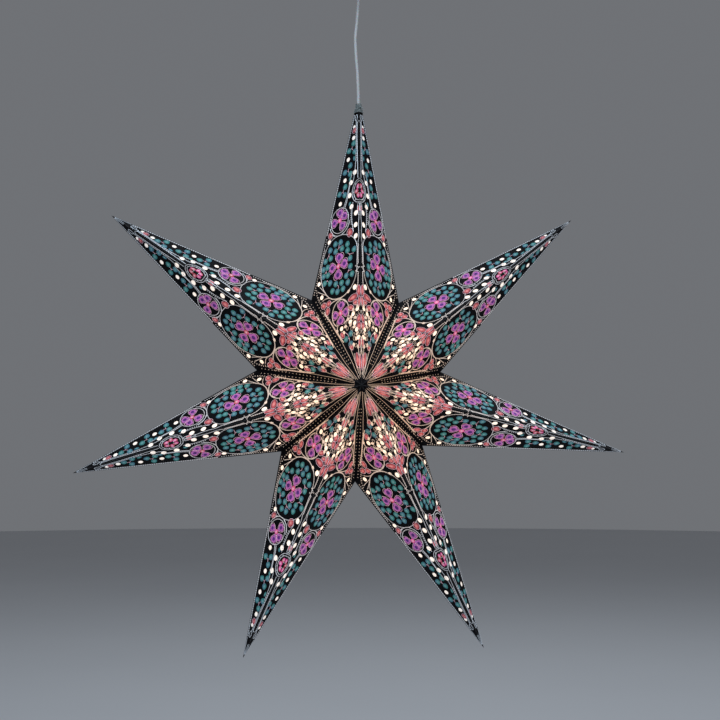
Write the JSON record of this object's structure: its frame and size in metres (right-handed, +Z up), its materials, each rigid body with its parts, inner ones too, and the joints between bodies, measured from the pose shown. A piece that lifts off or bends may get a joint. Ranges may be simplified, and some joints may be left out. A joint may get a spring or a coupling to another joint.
{
  "type": "paper star lantern",
  "caption": "Hanging star lantern of folded, printed and punched paper points round a lamp, on a flat lead from a ceiling fitting.",
  "frame": {"origin": "middle of the ceiling fitting's top face, where it meets the ceiling", "axes": "+Z up, out of the fitting's top face; -Y towards the viewer of the star's front; +X to that viewer's right"},
  "size_m": [0.5724, 0.164, 0.7338],
  "materials": {
    "printed_paper": "uncoated cotton paper, printed black and coloured on the outside, faintly rough",
    "lining_paper": "thin translucent tissue, lit from behind",
    "cotton_string": "twisted cotton string",
    "wound_thread": "grey-green waxed thread",
    "lead_sheath": "smooth white flexible sheath",
    "white_plastic": "moulded, half gloss",
    "holder_ceramic": "unglazed insulating core",
    "sleeve_brass": "pressed sheet",
    "cap_metal": "pressed sheet",
    "opal_glass": "opal, lit from inside",
    "zinc_steel": "zinc plated",
    "block_plastic": "moulded, matt"
  },
  "bodies": {
    "root": {"point_1": "printed_paper", "point_2": "printed_paper", "point_3": "printed_paper", "point_4": "printed_paper", "point_5": "printed_paper", "point_6": "printed_paper", "point_7": "printed_paper", "lining_1": "lining_paper", "lining_2": "lining_paper", "lining_3": "lining_paper", "lining_4": "lining_paper", "lining_5": "lining_paper", "lining_6": "lining_paper", "lining_7": "lining_paper", "seam_tie_1": "cotton_string", "seam_tie_2": "cotton_string", "seam_tie_3": "cotton_string", "tip_tie": "wound_thread", "lamp_cord": "lead_sheath", "cord_grip": "white_plastic", "holder_cap": "white_plastic", "holder_core": "holder_ceramic", "holder_skirt": "white_plastic", "holder_sleeve": "sleeve_brass", "bulb_cap": "cap_metal", "bulb_glass": "opal_glass", "ceiling_plate": "zinc_steel", "terminal_block": "block_plastic", "ceiling_cup": "white_plastic", "cup_screws": "zinc_steel", "cord_gland": "white_plastic"}
  },
  "joints": []
}
